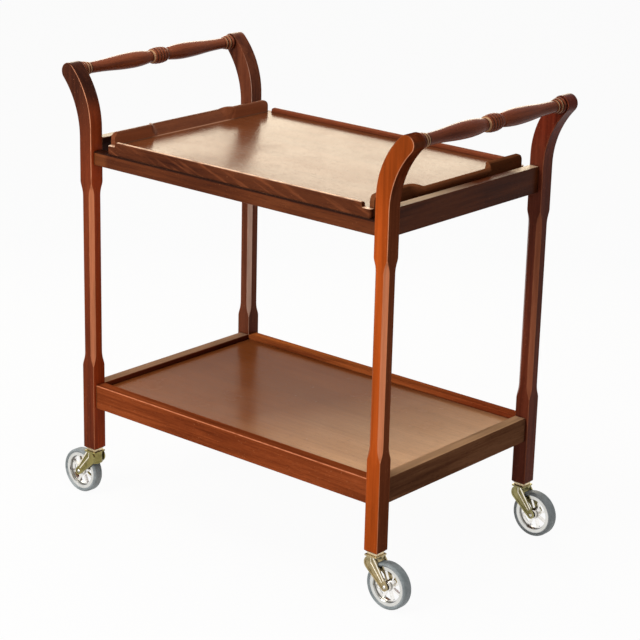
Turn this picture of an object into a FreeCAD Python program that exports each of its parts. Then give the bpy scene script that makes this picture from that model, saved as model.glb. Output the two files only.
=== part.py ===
import FreeCAD, Part
import math
import os
import re
import Sketcher
from FreeCAD import Placement, Rotation, Vector

# Two-tier tea trolley in lacquered hardwood: four scroll-topped legs with stopped chamfers, two turned
# push handles, a framed lower shelf, a lift-off serving tray and four swivelling castors.
# Frame: X along the trolley, Y from the front to the rear, Z up, origin on the floor under its middle.

# Driving dimensions, in millimetres, degrees and counts
SIZES = {
    # Overall, measured over the legs
    "trolley_length": 677,
    "trolley_width": 431,
    # Legs
    "leg_thick": 27.4,
    "foot_bevel": 3,
    "leg_ease": 1.2,
    "stop_chamfer": 6.6,
    "stop_above_rail": 27.3,
    "stop_below_rail": 24.5,
    "stop_run": 32,
    "scroll_reach": 27,
    "scroll_rise": 153.5,
    "scroll_nose": 15.3,
    "scroll_outer_rise": 45.5,
    "scroll_inner_rise": 61.5,
    # Rails, each with its inner face in line with the legs
    "rail_ease": 1.5,
    "foot_drop": 80,
    "tier_spacing": 441.8,
    "upper_long_height": 24,
    "upper_end_height": 44.5,
    "upper_long_setback": 7,
    "upper_end_setback": 8.5,
    "lower_rail_height": 43,
    "lower_setback": 5.5,
    "tenon_length": 13,
    "tenon_thick": 8,
    "tenon_shoulder": 4,
    "glue_clear": 0.05,
    # Lower shelf, held in a groove of the rails
    "shelf_thick": 9,
    "shelf_tongue": 5,
    "shelf_drop": 9,
    "groove_depth": 6,
    # Turned handles
    "spigot_diameter": 12,
    "spigot_length": 12,
    "stub_diameter": 23,
    "stub_length": 0.8,
    "bead_diameter": 29,
    "bead_step": 3.2,
    "bead_count": 3,
    "bead_width": 7.2,
    "bead_height": 2.2,
    "bead_edge": 0.8,
    "vase_narrow": 19.4,
    "vase_diameter": 28,
    "vase_place": 62,
    "shoulder_diameter": 23,
    "shoulder_length": 4,
    "neck_diameter": 19.2,
    "neck_length": 8,
    "bulb_diameter": 29.6,
    "bulb_length": 34,
    "reed_count": 5,
    # Lift-off tray
    "tray_end_gap": 23.5,
    "tray_side_inset": 13.5,
    "tray_offset_x": 7,
    "tray_offset_y": -4,
    "tray_board": 9,
    "tray_panel_thick": 14.8,
    "tray_lip": 8.7,
    "tray_lip_gap": 18,
    "tray_lip_round": 4.7,
    "tray_lip_cove": 2.8,
    "tray_corner": 4,
    "end_lip": 22.2,
    "end_lip_round": 12,
    "grip_rise": 6.5,
    "grip_lean": 46.5,
    "grip_length": 166,
    "grip_blend": 24,
    "batten_width": 18,
    "batten_height": 10,
    "batten_inset": 60,
    "batten_play": 6,
    # Castors
    "wheel_diameter": 80,
    "castor_trail": 30,
    "tyre_clear": 2.1,
    "tyre_wall": 6,
    "tyre_width": 20,
    "tyre_round": 6,
    "rim_wall": 6,
    "rim_width": 15,
    "hub_diameter": 16,
    "hub_width": 18.5,
    "web_thick": 5,
    "spoke_width": 4.4,
    "spoke_count": 8,
    "window_margin": 2.5,
    "axle_diameter": 5,
    "axle_head": 7,
    "axle_dome": 1.6,
    "fork_gauge": 2.6,
    "fork_recess": 1,
    "fork_rim": 2.6,
    "fork_side_clear": 1.2,
    "fork_lobe": 12.5,
    "fork_boss": 6.5,
    "fork_hood": 22,
    "crown_thick": 4,
    "stem_diameter": 8,
    "stem_head": 13,
    "stem_head_thick": 2,
    "stem_tip": 1,
    "socket_side": 21.5,
    "socket_plate": 4.2,
    "socket_ease": 3,
    "socket_tube": 12,
    "socket_length": 38,
    "running_clear": 0.05,
    "swivel_gap": 0.4,
    # Room past a face that a cut leaves
    "overrun": 2,
}

# How near two places count as one
SAME_PLACE = 0.0001
# Share of a chamfer's stop that curls in at its deep end
STOP_HOLLOW_share = 0.55
# Radius of a lip's rounded top, as a share of its thickness
LIP_ROUND_share = 0.55
# Places along a grip's blend where its lean is set
BLEND_shares = (0, 0.25, 0.5, 0.75, 1)
# Radius at each groove of the reeded bulb, from its middle to its end, and the radius of one reed
REED_shares = (0.875, 0.84, 0.7)
REED_ROUND_share = 0.14
# Where along the vase's long taper its swelling turns hollow
TAPER_share = 0.45

# Heights above the floor, each from the piece below it
FOOT = "(wheel_diameter + tyre_clear + crown_thick + swivel_gap + socket_plate)"
LOWER_RAIL = f"({FOOT} + foot_drop)"
UPPER_RAIL = f"({LOWER_RAIL} + tier_spacing)"
STOP_LOW = f"({LOWER_RAIL} + lower_rail_height + stop_above_rail)"
STOP_HIGH = f"({UPPER_RAIL} - stop_below_rail)"
SCROLL = f"({UPPER_RAIL} + scroll_rise)"
SCROLL_OUTER = f"({UPPER_RAIL} + scroll_outer_rise)"
SCROLL_INNER = f"({UPPER_RAIL} + scroll_inner_rise)"

LEGS = {  # node name: (side along X, side along Y)
    "front_left": (-1, -1),
    "front_right": (1, -1),
    "rear_left": (-1, 1),
    "rear_right": (1, 1),
}

doc = FreeCAD.newDocument("tea_trolley")
sheet = doc.addObject("Spreadsheet::Sheet", "sizes")
for row, (alias, number) in enumerate(SIZES.items(), start=1):
    sheet.set(f"A{row}", alias)
    sheet.set(f"B{row}", str(number))
    sheet.setAlias(f"B{row}", alias)
doc.recompute()

nodes = []


def bound(text):
    """The text of an expression, with each size's name pointed at its cell."""
    return re.sub(r"[a-z_]+", lambda word: f"sizes.{word[0]}" if word[0] in SIZES else word[0], str(text))


def worth(text):
    """The number that an expression comes to."""
    return float(sheet.evalExpression(bound(text)))


def bind(item, **sizes):
    """Tie properties of a feature to expressions of the sheet."""
    for name, text in sizes.items():
        item.setExpression(name, bound(text))


def place(item, x="0", y="0", z="0"):
    """Tie a feature's place to expressions of the sheet."""
    for axis, text in zip("xyz", (x, y, z)):
        item.setExpression(f"Placement.Base.{axis}", bound(text))


def origin_feature(body, role):
    return next(item for item in body.Origin.OriginFeatures if item.Role == role)


def new_body(label):
    body = doc.addObject("PartDesign::Body", label)
    body.Label = label
    nodes.append(body)
    return body


def set_down(body, x="0", y="0", z="0", turn=0):
    """Put a finished body in its place, turned about the upright axis."""
    body.Placement = Placement(Vector(0, 0, 0), Rotation(Vector(0, 0, 1), turn))
    place(body, x, y, z)


def new_sketch(body, role, name, offset=None):
    """A sketch on one of the body's own planes, or at an offset along that plane's normal."""
    sketch = body.newObject("Sketcher::SketchObject", name)
    sketch.AttachmentSupport = [(origin_feature(body, role), "")]
    sketch.MapMode = "FlatFace"
    if offset is not None:
        sketch.setExpression("AttachmentOffset.Base.z", bound(offset))
    return sketch


def pin(sketch, geometry, point, x, y):
    """Dimension a point of a sketch from the sketch's origin."""
    for kind, text in (("DistanceX", x), ("DistanceY", y)):
        index = sketch.addConstraint(Sketcher.Constraint(kind, -1, 1, geometry, point, worth(text)))
        sketch.setExpression(f"Constraints[{index}]", bound(text))


def size_radius(sketch, geometry, text):
    index = sketch.addConstraint(Sketcher.Constraint("Radius", geometry, worth(text)))
    sketch.setExpression(f"Constraints[{index}]", bound(text))


def arc_between(start, end, radius, turn):
    """The short arc from start to end: turn is 1 to the left and -1 to the right."""
    chord = end - start
    rise = math.sqrt(max(radius ** 2 - (chord.Length / 2) ** 2, 0))
    aside = Vector(-chord.y, chord.x, 0).normalize() * rise * turn
    centre = (start + end) / 2 + aside
    first, last = (start, end) if turn > 0 else (end, start)
    angles = [math.atan2(point.y - centre.y, point.x - centre.x) for point in (first, last)]
    return Part.ArcOfCircle(Part.Circle(centre, Vector(0, 0, 1), radius), *angles)


def level_arc(run, rise):
    """Radius of an arc that is level at one end and comes to a rise over a run."""
    return f"((({run}) ^ 2 + ({rise}) ^ 2) / (2 * ({rise})))"


def draw(sketch, corners, arcs=None):
    """A closed outline through corners given as expressions. arcs gives an edge, named by the number of
    the corner it starts at, its radius and its turn."""
    arcs = arcs or {}
    points = [Vector(worth(x), worth(y), 0) for x, y in corners]
    count = len(points)
    ends = []
    for index, start in enumerate(points):
        end = points[(index + 1) % count]
        if index in arcs:
            radius, turn = arcs[index]
            sketch.addGeometry(arc_between(start, end, worth(radius), turn), False)
            ends.append((1, 2) if turn > 0 else (2, 1))
        else:
            sketch.addGeometry(Part.LineSegment(start, end), False)
            ends.append((1, 2))
    for index in range(count):
        after = (index + 1) % count
        sketch.addConstraint(Sketcher.Constraint("Coincident", index, ends[index][1], after, ends[after][0]))
    for index, (x, y) in enumerate(corners):
        pin(sketch, index, ends[index][0], x, y)
    for index, (radius, turn) in arcs.items():
        size_radius(sketch, index, radius)


def extrude(body, kind, sketch, name, length, both_ways=False, reverse=False):
    """A pad or a pocket of a sketch, along its normal or half to each side."""
    feature = body.newObject(f"PartDesign::{kind}", name)
    feature.Profile = sketch
    feature.SideType = "Symmetric" if both_ways else "One side"
    feature.Reversed = reverse
    bind(feature, Length=length)
    return feature


def box(body, kind, name, length, width, height, x, y, z):
    feature = body.newObject(f"PartDesign::{kind}Box", name)
    bind(feature, Length=length, Width=width, Height=height)
    place(feature, x, y, z)
    return feature


def cylinder(body, kind, name, radius, height, x="0", y="0", z="0", tilt=0):
    """A cylinder standing on its base point, tilted about X so that 90 lays it along -Y."""
    feature = body.newObject(f"PartDesign::{kind}Cylinder", name)
    bind(feature, Radius=radius, Height=height)
    feature.Placement = Placement(Vector(0, 0, 0), Rotation(Vector(1, 0, 0), tilt))
    place(feature, x, y, z)
    return feature


def revolve(body, sketch, name):
    """A full turn about the sketch's upright axis."""
    feature = body.newObject("PartDesign::Revolution", name)
    feature.Profile = sketch
    feature.ReferenceAxis = (sketch, ["V_Axis"])
    feature.Angle = 360
    return feature


def repeat_round(body, feature, name, role, count):
    pattern = body.newObject("PartDesign::PolarPattern", name)
    pattern.Originals = [feature]
    pattern.Axis = (origin_feature(body, role), [""])
    pattern.Angle = 360
    bind(pattern, Occurrences=count)
    body.Tip = pattern
    return pattern


def mirror(body, features, name, role):
    mirrored = body.newObject("PartDesign::Mirrored", name)
    mirrored.Originals = features
    mirrored.MirrorPlane = (origin_feature(body, role), [""])
    body.Tip = mirrored
    return mirrored


def soften(body, base, name, edge_test, radius):
    """A fillet on the edges of a feature that a test picks."""
    doc.recompute()
    edges = [f"Edge{index}" for index, edge in enumerate(base.Shape.Edges, start=1) if edge_test(edge)]
    feature = body.newObject("PartDesign::Fillet", name)
    feature.Base = (base, edges)
    bind(feature, Radius=radius)
    return feature


def edge_at(edge, axis, number):
    """Whether both ends of an edge lie where the axis reads number."""
    return all(abs(getattr(vertex.Point, axis) - number) < SAME_PLACE for vertex in edge.Vertexes)


# Legs

def draw_leg_side(sketch):
    """Side view of a leg on its own axis: a straight post that sweeps outward in a scroll. The hollow
    outer arc and the swelling inner arc both run smoothly from the post into the round nose."""
    half = worth("leg_thick / 2")
    foot = worth(FOOT)
    nose = worth("scroll_nose")
    centre = Vector(half + worth("scroll_reach"), worth(SCROLL), 0)
    starts = {1: worth(SCROLL_OUTER), -1: worth(SCROLL_INNER)}
    arcs = {}
    for side, start in starts.items():
        across = centre.x - side * half
        rise = centre.y - start
        radius = (across ** 2 + rise ** 2 - nose ** 2) / (2 * (across + side * nose))
        middle = Vector(side * half + radius, start, 0)
        arcs[side] = (middle, radius, math.atan2(rise, centre.x - middle.x))
    upright = Vector(0, 0, 1)
    outer_middle, outer_radius, outer_angle = arcs[1]
    inner_middle, inner_radius, inner_angle = arcs[-1]
    outline = [
        Part.LineSegment(Vector(half, foot, 0), Vector(half, starts[1], 0)),
        Part.ArcOfCircle(Part.Circle(outer_middle, upright, outer_radius), outer_angle, math.pi),
        Part.ArcOfCircle(Part.Circle(centre, upright, nose), outer_angle - math.pi, inner_angle),
        Part.ArcOfCircle(Part.Circle(inner_middle, upright, inner_radius), inner_angle, math.pi),
        Part.LineSegment(Vector(-half, starts[-1], 0), Vector(-half, foot, 0)),
        Part.LineSegment(Vector(-half, foot, 0), Vector(half, foot, 0)),
    ]
    for geometry in outline:
        sketch.addGeometry(geometry, False)
    for first, first_end, second, second_end in ((0, 2, 1, 2), (1, 1, 2, 1), (2, 2, 3, 1), (3, 2, 4, 1)):
        sketch.addConstraint(Sketcher.Constraint("Tangent", first, first_end, second, second_end))
    for first, second in ((4, 5), (5, 0)):
        sketch.addConstraint(Sketcher.Constraint("Coincident", first, 2, second, 1))
    sketch.addConstraint(Sketcher.Constraint("Vertical", 0))
    sketch.addConstraint(Sketcher.Constraint("Vertical", 4))
    pin(sketch, 0, 1, "leg_thick / 2", FOOT)
    pin(sketch, 4, 2, "-leg_thick / 2", FOOT)
    pin(sketch, 2, 3, "leg_thick / 2 + scroll_reach", SCROLL)
    size_radius(sketch, 2, "scroll_nose")
    for geometry, point, text in ((0, 2, SCROLL_OUTER), (4, 1, SCROLL_INNER)):
        index = sketch.addConstraint(Sketcher.Constraint("DistanceY", -1, 1, geometry, point, worth(text)))
        sketch.setExpression(f"Constraints[{index}]", bound(text))


def draw_stop_chamfer(sketch):
    """The cut along one corner of the leg, in the upright plane through that corner and the leg's axis:
    its depth fades out at both ends in an S."""
    corner = "leg_thick / sqrt(2)"
    depth = "stop_chamfer / sqrt(2)"
    tip = 1 - STOP_HOLLOW_share
    sweep = level_arc("stop_run", depth)
    swell = f"{tip} * {sweep}"
    hollow = f"{STOP_HOLLOW_share} * {sweep}"
    corners = [
        (corner, STOP_LOW),
        (f"{corner} - {tip} * {depth}", f"{STOP_LOW} + {tip} * stop_run"),
        (f"{corner} - {depth}", f"{STOP_LOW} + stop_run"),
        (f"{corner} - {depth}", f"{STOP_HIGH} - stop_run"),
        (f"{corner} - {tip} * {depth}", f"{STOP_HIGH} - {tip} * stop_run"),
        (corner, STOP_HIGH),
        (f"{corner} + overrun", STOP_HIGH),
        (f"{corner} + overrun", STOP_LOW),
    ]
    draw(sketch, corners, {0: (swell, 1), 1: (hollow, -1), 3: (hollow, -1), 4: (swell, 1)})


# Height of each kind of rail, its setback behind the leg and the span of its tenon
RAILS = {
    "upper_long": (UPPER_RAIL, "upper_long_height", "upper_long_setback",
                   f"{UPPER_RAIL} + tenon_shoulder",
                   f"{UPPER_RAIL} + upper_long_height - tenon_shoulder"),
    "upper_end": (UPPER_RAIL, "upper_end_height", "upper_end_setback",
                  f"{UPPER_RAIL} + upper_long_height + tenon_shoulder",
                  f"{UPPER_RAIL} + upper_end_height - tenon_shoulder"),
    "lower_long": (LOWER_RAIL, "lower_rail_height", "lower_setback",
                   f"{LOWER_RAIL} + tenon_shoulder",
                   f"{LOWER_RAIL} + (lower_rail_height - tenon_shoulder) / 2"),
    "lower_end": (LOWER_RAIL, "lower_rail_height", "lower_setback",
                  f"{LOWER_RAIL} + (lower_rail_height + tenon_shoulder) / 2",
                  f"{LOWER_RAIL} + lower_rail_height - tenon_shoulder"),
}


def cut_mortises(body, outer):
    """A blind mortise for each rail's tenon. outer is the way along Y that the leg's outer side faces."""
    room = "(tenon_thick + 2 * glue_clear)"
    depth = "(tenon_length + glue_clear)"
    for kind, (bottom, height, setback, low, high) in RAILS.items():
        tall = f"{high} - ({low}) + 2 * glue_clear"
        start = f"{low} - glue_clear"
        if kind.endswith("long"):
            box(body, "Subtractive", f"mortise_{kind}", depth, room, tall,
                "-leg_thick / 2", f"{-outer} * {setback} / 2 - {room} / 2", start)
        else:
            inner_face = "leg_thick / 2 - " + depth if outer < 0 else "-leg_thick / 2"
            box(body, "Subtractive", f"mortise_{kind}", room, depth, tall,
                f"-{setback} / 2 - {room} / 2", inner_face, start)


def make_leg(name, side_x, side_y):
    """A leg on its own axis, with its scroll along +X; the left legs are turned half round."""
    body = new_body(f"leg_{name}")
    outer = side_x * side_y
    side_view = new_sketch(body, "XZ_Plane", "side_view")
    draw_leg_side(side_view)
    post = extrude(body, "Pad", side_view, "post", "leg_thick", both_ways=True)
    half = worth("leg_thick / 2")
    foot = worth(FOOT)

    def is_long_edge(edge):
        on_side = edge_at(edge, "y", half) or edge_at(edge, "y", -half)
        return on_side and not edge_at(edge, "z", foot)

    soften(body, post, "eased_edges", is_long_edge, "leg_ease")
    foot_view = new_sketch(body, "XZ_Plane", "foot_view")
    draw(foot_view, [
        ("leg_thick / 2 - foot_bevel - overrun", f"{FOOT} - overrun"),
        ("leg_thick / 2 + overrun", f"{FOOT} - overrun"),
        ("leg_thick / 2 + overrun", f"{FOOT} + foot_bevel + overrun"),
    ])
    bevel = extrude(body, "Pocket", foot_view, "foot_bevel", "leg_thick + overrun", both_ways=True)
    repeat_round(body, bevel, "foot_bevels", "Z_Axis", "4")
    corner_view = new_sketch(body, "XZ_Plane", "corner_view")
    corner_view.AttachmentOffset = Placement(Vector(0, 0, 0), Rotation(Vector(0, 1, 0), 45))
    draw_stop_chamfer(corner_view)
    stop = extrude(body, "Pocket", corner_view, "stop_chamfer", "2 * stop_chamfer", both_ways=True)
    repeat_round(body, stop, "stop_chamfers", "Z_Axis", "4")
    cut_mortises(body, outer)
    reach = "leg_thick / 2 + scroll_reach"
    depth = "spigot_length + glue_clear"
    start = "leg_thick / 2" if outer < 0 else f"-leg_thick / 2 + {depth}"
    cylinder(body, "Subtractive", "handle_hole", "spigot_diameter / 2 + glue_clear", depth,
             reach, start, SCROLL, tilt=90)
    cylinder(body, "Subtractive", "socket_hole", "socket_tube / 2 + glue_clear",
             "socket_length + glue_clear", z=FOOT)
    set_down(body, f"{side_x} * (trolley_length - leg_thick) / 2",
             f"{side_y} * (trolley_width - leg_thick) / 2", turn=0 if side_x > 0 else 180)


# Rails and the lower shelf

def make_rail(name, kind, span, x="0", y="0", turn=0):
    """A rail along X with its outer side to -Y; Y is counted from the leg's outer face."""
    bottom, height, setback, low, high = RAILS[kind]
    body = new_body(name)
    top = f"{bottom} + {height}"
    corners = [
        (f"{setback} + rail_ease", bottom),
        ("leg_thick", bottom),
        ("leg_thick", f"{top} - rail_ease"),
        ("leg_thick - rail_ease", top),
        (f"{setback} + rail_ease", top),
        (setback, f"{top} - rail_ease"),
        (setback, f"{bottom} + rail_ease"),
    ]
    rounds = [2, 4, 6]
    if kind.startswith("lower"):
        shelf_under = f"{top} - shelf_drop - shelf_thick"
        corners[2:2] = [
            ("leg_thick", f"{shelf_under} - glue_clear"),
            ("leg_thick - groove_depth", f"{shelf_under} - glue_clear"),
            ("leg_thick - groove_depth", f"{shelf_under} + shelf_tongue + glue_clear"),
            ("leg_thick", f"{shelf_under} + shelf_tongue + glue_clear"),
        ]
        rounds = [6, 8, 10]
    section = new_sketch(body, "YZ_Plane", "section")
    draw(section, corners, {edge: ("rail_ease", 1) for edge in rounds})
    extrude(body, "Pad", section, "length", span, both_ways=True)
    box(body, "Additive", "tenons", f"{span} + 2 * tenon_length", "tenon_thick", f"{high} - ({low})",
        f"-({span}) / 2 - tenon_length", f"({setback} + leg_thick - tenon_thick) / 2", low)
    set_down(body, x, y, turn=turn)


def make_rails():
    long_span = "trolley_length - 2 * leg_thick"
    end_span = "trolley_width - 2 * leg_thick"
    for tier in ("upper", "lower"):
        make_rail(f"{tier}_rail_front", f"{tier}_long", long_span, y="-trolley_width / 2")
        make_rail(f"{tier}_rail_rear", f"{tier}_long", long_span, y="trolley_width / 2", turn=180)
        make_rail(f"{tier}_rail_right", f"{tier}_end", end_span, x="trolley_length / 2", turn=90)
        make_rail(f"{tier}_rail_left", f"{tier}_end", end_span, x="-trolley_length / 2", turn=-90)


def make_shelf():
    """The lower panel, with a tongue in the rails' grooves that is cut round the legs at its corners."""
    body = new_body("shelf_panel")
    inner_x = "(trolley_length / 2 - leg_thick - glue_clear)"
    inner_y = "(trolley_width / 2 - leg_thick - glue_clear)"
    edge_x = f"({inner_x} + groove_depth)"
    edge_y = f"({inner_y} + groove_depth)"
    corners = []
    for side_x, side_y in ((1, -1), (1, 1), (-1, 1), (-1, -1)):
        notch = [(f"{side_x} * {inner_x}", f"{side_y} * {edge_y}"),
                 (f"{side_x} * {inner_x}", f"{side_y} * {inner_y}"),
                 (f"{side_x} * {edge_x}", f"{side_y} * {inner_y}")]
        corners += notch if side_x * side_y < 0 else notch[::-1]
    plan = new_sketch(body, "XY_Plane", "plan")
    draw(plan, corners)
    extrude(body, "Pad", plan, "tongue", "shelf_tongue")
    box(body, "Additive", "field", f"2 * {inner_x}", f"2 * {inner_y}", "shelf_thick",
        f"-{inner_x}", f"-{inner_y}", "0")
    set_down(body, z=f"{LOWER_RAIL} + lower_rail_height - shelf_drop - shelf_thick")


# Turned handles

def handle_profile():
    """Half of a handle from its middle outward, as its stations: the radius and the place of each, and
    the curve of the stretch that ends there as a radius and a turn, or None for a straight one."""
    half_bulb = "bulb_length / 2"
    reed = "bulb_length / reed_count"
    reed_curve = (f"bulb_diameter * {REED_ROUND_share}", 1)
    middle, inner, end = (f"bulb_diameter / 2 * {share}" for share in REED_shares)
    neck_end = f"({half_bulb} + neck_length)"
    leg_face = "(trolley_width / 2 - leg_thick)"
    beads_end = f"({leg_face} - stub_length)"
    beads_start = f"({beads_end} - bead_count * bead_width)"
    bead_curve = ("bead_width / 2", 1)
    beads = []
    for step in reversed(range(SIZES["bead_count"])):
        root = f"(bead_diameter - {step} * bead_step) / 2 - bead_height"
        far_side = f"{beads_end} - {step} * bead_width" if step else f"{beads_end} - bead_edge"
        beads.append((root, f"{beads_end} - {step + 1} * bead_width + bead_edge", None))
        beads.append((root, far_side, bead_curve))
    shoulder_end = f"({neck_end} + shoulder_length)"
    swell = level_arc(f"vase_place - {shoulder_end}", "(vase_diameter - shoulder_diameter) / 2")
    taper_length = f"({beads_start} - vase_place)"
    narrowing = "(vase_diameter - vase_narrow) / 2"
    taper = level_arc(taper_length, narrowing)
    turn_place = f"vase_place + {TAPER_share} * {taper_length}"
    turn_radius = f"vase_diameter / 2 - {TAPER_share} * {narrowing}"
    return [
        (middle, f"{reed} / 2", reed_curve),
        (inner, f"3 * {reed} / 2", reed_curve),
        (end, half_bulb, reed_curve),
        ("neck_diameter / 2", f"{half_bulb} + neck_length / 2", None),
        ("neck_diameter / 2", neck_end, None),
        ("shoulder_diameter / 2", shoulder_end, ("shoulder_length", 1)),
        ("vase_diameter / 2", "vase_place", (swell, 1)),
        (turn_radius, turn_place, (f"{TAPER_share} * {taper}", 1)),
        ("vase_narrow / 2", beads_start, (f"{1 - TAPER_share} * {taper}", -1)),
        *beads,
        ("stub_diameter / 2", beads_end, None),
        ("stub_diameter / 2", leg_face, None),
        ("spigot_diameter / 2", leg_face, None),
        ("spigot_diameter / 2", f"{leg_face} + spigot_length", None),
    ]


def make_handle(name, side):
    """A handle turned about Y, with the same half to each side of its reeded bulb."""
    body = new_body(name)
    half = handle_profile()
    outward = [(radius, place_along) for radius, place_along, curve in half]
    inward = [(radius, f"-({place_along})") for radius, place_along in reversed(outward)]
    last = f"({outward[-1][1]})"
    corners = [("0", f"-{last}")] + inward + outward + [("0", last)]
    curves = [curve for radius, place_along, curve in half]
    arcs = {}
    for index, curve in enumerate(reversed(curves)):
        if curve:
            arcs[1 + index] = curve
    for index, curve in enumerate(curves):
        if curve:
            arcs[len(half) + index] = curve
    profile = new_sketch(body, "XY_Plane", "profile")
    draw(profile, corners, arcs)
    revolve(body, profile, "turning")
    set_down(body, f"{side} * (trolley_length / 2 + scroll_reach)", z=SCROLL)


# Lift-off tray

TRAY_LENGTH = "(trolley_length - 2 * leg_thick - 2 * tray_end_gap)"
TRAY_WIDTH = "(trolley_width - 2 * tray_side_inset)"
TRAY_BOTTOM = f"{UPPER_RAIL} + upper_long_height"
LIP_CROWN = f"tray_board * ({LIP_ROUND_share} - sqrt({LIP_ROUND_share} ^ 2 - 1 / 4))"
LIP_ROUND = f"tray_board * {LIP_ROUND_share}"


def set_down_on_tray(body, x="0", y="0", z="0", turn=0):
    set_down(body, f"tray_offset_x + {x}", f"tray_offset_y + {y}", f"{TRAY_BOTTOM} + {z}", turn)


def make_tray_panel():
    body = new_body("tray_panel")
    length = f"{TRAY_LENGTH} - 2 * tray_board"
    width = f"{TRAY_WIDTH} - 2 * tray_board"
    box(body, "Additive", "panel", length, width, "tray_panel_thick",
        f"-({length}) / 2", f"-({width}) / 2", "0")
    set_down_on_tray(body)


def make_tray_board(name, side):
    """A long edge board: it closes the panel's edge and stands up as a low lip, cut down at its ends."""
    body = new_body(name)
    top = "tray_panel_thick + tray_lip"
    half = f"{TRAY_LENGTH} / 2"
    lip_end = f"{half} - tray_lip_gap"
    section = new_sketch(body, "YZ_Plane", "section")
    corners = [("0", "0"), ("tray_board", "0"), ("tray_board", f"{top} - {LIP_CROWN}"),
               ("0", f"{top} - {LIP_CROWN}")]
    draw(section, corners, {2: (LIP_ROUND, 1)})
    board = extrude(body, "Pad", section, "board", TRAY_LENGTH, both_ways=True)
    end = worth(half)
    soften(body, board, "corners",
           lambda edge: edge_at(edge, "y", 0) and (edge_at(edge, "x", end) or edge_at(edge, "x", -end)),
           "tray_corner")
    front = new_sketch(body, "XZ_Plane", "front_view", "overrun")
    corners = [
        (f"{lip_end} - tray_lip_round", top),
        (f"{lip_end} - tray_lip_round", f"{top} + overrun"),
        (f"{half} + overrun", f"{top} + overrun"),
        (f"{half} + overrun", "tray_panel_thick"),
        (f"{lip_end} + tray_lip_cove", "tray_panel_thick"),
        (lip_end, "tray_panel_thick + tray_lip_cove"),
        (lip_end, f"{top} - tray_lip_round"),
    ]
    draw(front, corners, {4: ("tray_lip_cove", -1), 6: ("tray_lip_round", 1)})
    notch = extrude(body, "Pocket", front, "lip_end", "tray_board + 2 * overrun")
    mirror(body, [notch], "lip_ends", "YZ_Plane")
    set_down_on_tray(body, y=f"{side} * {TRAY_WIDTH} / 2", turn=0 if side < 0 else 180)


def draw_lip_section(sketch, share):
    """Section of an end board: upright at the panel's edge and, by its share of the grip, taller and
    leaning outward above the panel."""
    lean = f"(grip_lean * {share})"
    rise = f"(end_lip + grip_rise * {share} - {LIP_CROWN})"
    out = f"{rise} * sin({lean})"
    up = f"{rise} * cos({lean})"
    corners = [
        ("0", "-tray_panel_thick"),
        ("tray_board", "-tray_panel_thick"),
        ("tray_board", f"-tray_board * tan({lean} / 2)"),
        (f"{out} + tray_board * cos({lean})", f"{up} - tray_board * sin({lean})"),
        (out, up),
        ("0", "0"),
    ]
    draw(sketch, corners, {3: (LIP_ROUND, 1)})


def make_tray_end(name, side):
    """An end board with a tall lip, whose middle leans outward as a grip and blends into two wings."""
    body = new_body(name)
    half = f"({TRAY_WIDTH} / 2 - tray_board)"
    grip_end = "grip_length / 2"
    grip_section = new_sketch(body, "XZ_Plane", "grip_section")
    draw_lip_section(grip_section, 1)
    extrude(body, "Pad", grip_section, "grip", "grip_length", both_ways=True)
    sections = []
    for index, share in enumerate(BLEND_shares):
        eased_share = 1 - share ** 2 * (3 - 2 * share)
        along = f"-({grip_end} + grip_blend * {share})"
        section = new_sketch(body, "XZ_Plane", f"blend_section_{index}", along)
        draw_lip_section(section, eased_share)
        sections.append(section)
    blend = body.newObject("PartDesign::AdditiveLoft", "blend")
    blend.Profile = sections[0]
    blend.Sections = sections[1:]
    wing_section = new_sketch(body, "XZ_Plane", "wing_section", f"-({grip_end} + grip_blend)")
    draw_lip_section(wing_section, 0)
    wing = extrude(body, "Pad", wing_section, "wing", f"{half} - {grip_end} - grip_blend", reverse=True)
    end_view = new_sketch(body, "YZ_Plane", "end_view", "-overrun")
    corners = [
        (f"{half} - end_lip_round", "end_lip"),
        (half, "end_lip - end_lip_round"),
        (f"{half} + overrun", "end_lip - end_lip_round"),
        (f"{half} + overrun", "end_lip + overrun"),
        (f"{half} - end_lip_round", "end_lip + overrun"),
    ]
    draw(end_view, corners, {0: ("end_lip_round", -1)})
    rounded = extrude(body, "Pocket", end_view, "wing_end", "tray_board + 2 * overrun", reverse=True)
    mirror(body, [blend, wing, rounded], "other_wing", "XZ_Plane")
    set_down_on_tray(body, f"{side} * ({TRAY_LENGTH} / 2 - tray_board)", z="tray_panel_thick",
                     turn=0 if side > 0 else 180)


def make_tray_batten(name, side):
    """A bar under the tray that drops between the long rails and keeps the tray from sliding off."""
    body = new_body(name)
    length = "trolley_width - 2 * leg_thick - 2 * batten_play"
    box(body, "Additive", "bar", "batten_width", length, "batten_height",
        "-batten_width / 2", f"-({length}) / 2", "-batten_height")
    set_down_on_tray(body, f"{side} * ({TRAY_LENGTH} / 2 - batten_inset)")


def make_tray():
    make_tray_panel()
    make_tray_board("tray_board_front", -1)
    make_tray_board("tray_board_rear", 1)
    for name, side in (("left", -1), ("right", 1)):
        make_tray_end(f"tray_end_{name}", side)
        make_tray_batten(f"tray_batten_{name}", side)


# Castors, each on its leg's axis and trailing along +X

AXLE_HEIGHT = "wheel_diameter / 2"
CROWN_TOP = "(wheel_diameter + tyre_clear + crown_thick)"
FORK_INNER = "(tyre_width / 2 + fork_side_clear)"
FORK_OUTER = f"({FORK_INNER} + fork_gauge)"


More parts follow.
